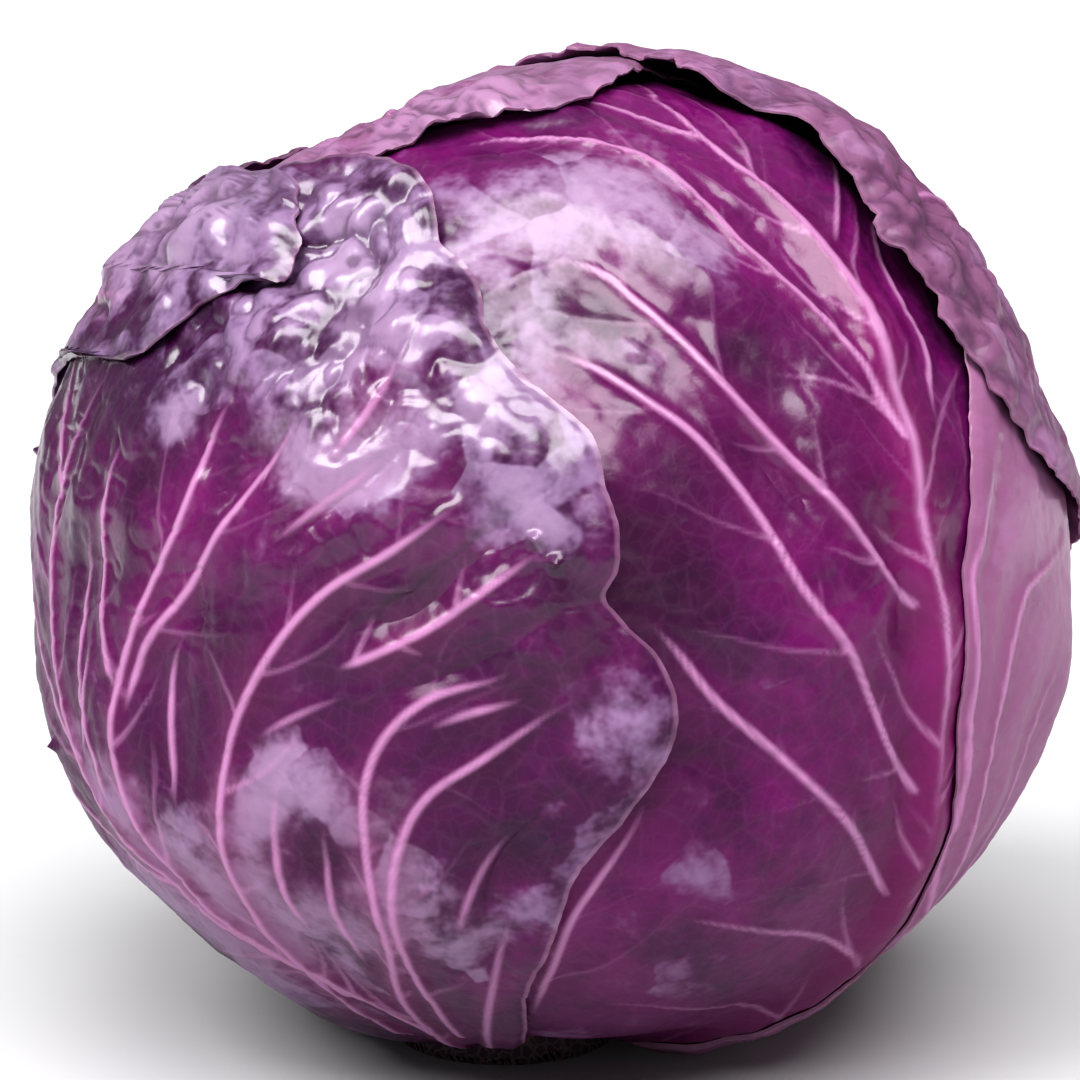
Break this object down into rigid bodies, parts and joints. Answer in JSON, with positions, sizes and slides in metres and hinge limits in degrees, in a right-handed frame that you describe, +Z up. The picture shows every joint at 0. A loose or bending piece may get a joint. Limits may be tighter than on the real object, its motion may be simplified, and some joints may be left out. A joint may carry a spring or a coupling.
{
  "type": "red cabbage head",
  "caption": "Round red cabbage head of purple wrapper leaves with pale raised veins around a tight heart, resting on its cut stem.",
  "frame": {"origin": "centre of the cut stem face, on the surface that the head rests on", "axes": "+Z up through the crown; -Y towards the viewer of the picture; +X to the viewer's right"},
  "size_m": [0.1678, 0.1702, 0.1601],
  "materials": {
    "stem": "moist cut core with a violet rim",
    "heart_leaf": "smooth purple leaf, slightly waxy",
    "outer_leaf": "glossy purple leaf with lilac wax bloom and pink veins",
    "faded_leaf": "duller grey-purple leaf with pale veins"
  },
  "bodies": {
    "root": {"cut_stem": "stem", "heart": "heart_leaf", "inner_wrap_front": "outer_leaf", "inner_wrap_back": "outer_leaf", "right_front_leaf": "outer_leaf", "crown_leaf": "faded_leaf", "right_side_leaf": "faded_leaf", "left_side_leaf": "faded_leaf", "back_leaf": "outer_leaf", "ragged_right_leaf": "faded_leaf", "left_front_leaf": "outer_leaf", "upper_left_leaf": "outer_leaf"}
  },
  "joints": []
}
